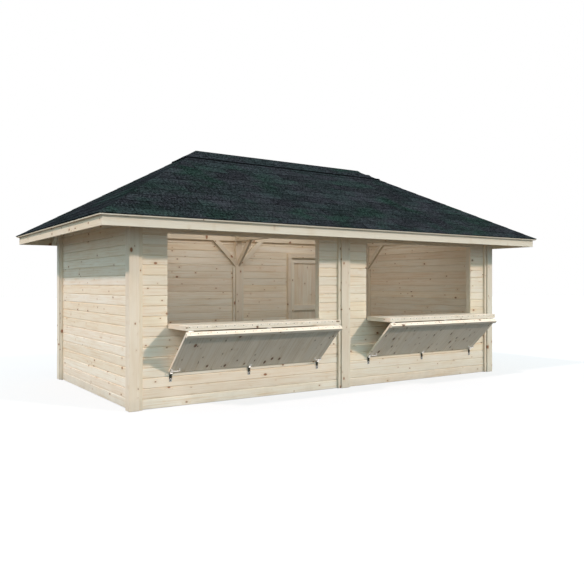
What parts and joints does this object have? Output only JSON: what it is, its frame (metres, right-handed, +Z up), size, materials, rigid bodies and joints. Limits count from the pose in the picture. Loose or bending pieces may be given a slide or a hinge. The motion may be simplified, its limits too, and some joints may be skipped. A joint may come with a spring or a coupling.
{
  "type": "wooden market hut",
  "caption": "Rectangular timber stall with plank walls between posts, two folding serving hatches in front, a plank door behind and a hipped shingle roof.",
  "frame": {"origin": "middle of the rectangular footprint, at ground level", "axes": "+X to the right along the front with the two hatches, +Y to the back wall with the door, +Z up"},
  "size_m": [6.96, 4, 3.2807],
  "materials": {
    "wall_planks": "raw planed spruce planks",
    "planed_timber": "raw planed spruce",
    "leaf_boards": "raw planed spruce boards",
    "roof_boards": "raw sawn spruce boards",
    "bitumen_shingles": "matt, gritted, dark grey with green and violet shades",
    "zinc_fittings": "galvanised"
  },
  "bodies": {
    "hut": {"corner_posts": "planed_timber", "middle_posts": "planed_timber", "long_plates": "planed_timber", "short_plates": "planed_timber", "tie_beam": "planed_timber", "wall_braces": "planed_timber", "tie_braces": "planed_timber", "left_wall": "wall_planks", "right_wall": "wall_planks", "back_wall_left": "wall_planks", "back_wall_door_sides": "wall_planks", "back_wall_over_door": "wall_planks", "front_left_apron": "wall_planks", "front_left_sides": "wall_planks", "front_left_lintel": "wall_planks", "front_right_apron": "wall_planks", "front_right_sides": "wall_planks", "front_right_lintel": "wall_planks", "outer_battens": "planed_timber", "inner_battens": "planed_timber", "left_hatch_frame": "planed_timber", "right_hatch_frame": "planed_timber", "left_shelf": "leaf_boards", "right_shelf": "leaf_boards", "left_lower_leaf": "leaf_boards", "right_lower_leaf": "leaf_boards", "hatch_hinges": "zinc_fittings", "hatch_latches": "zinc_fittings", "hatch_pulls": "zinc_fittings", "door_frame": "planed_timber", "door_pintles": "zinc_fittings", "ridge_beam": "planed_timber", "hip_rafters": "planed_timber", "rafters": "planed_timber", "roof_deck_front": "roof_boards", "roof_deck_back": "roof_boards", "roof_deck_left": "roof_boards", "roof_deck_right": "roof_boards", "fascia_long": "planed_timber", "fascia_short": "planed_timber", "shingles": "bitumen_shingles", "ridge_cap": "bitumen_shingles"},
    "door": {"door_leaf": "wall_planks", "door_straps": "zinc_fittings", "door_handle": "zinc_fittings"}
  },
  "joints": [
    {"name": "door_hinge", "type": "hinge", "parent": "hut", "child": "door", "pos_m": [1.074, 1.488, 0], "axis": [0, 0, 1], "range_deg": [0, 100]}
  ]
}
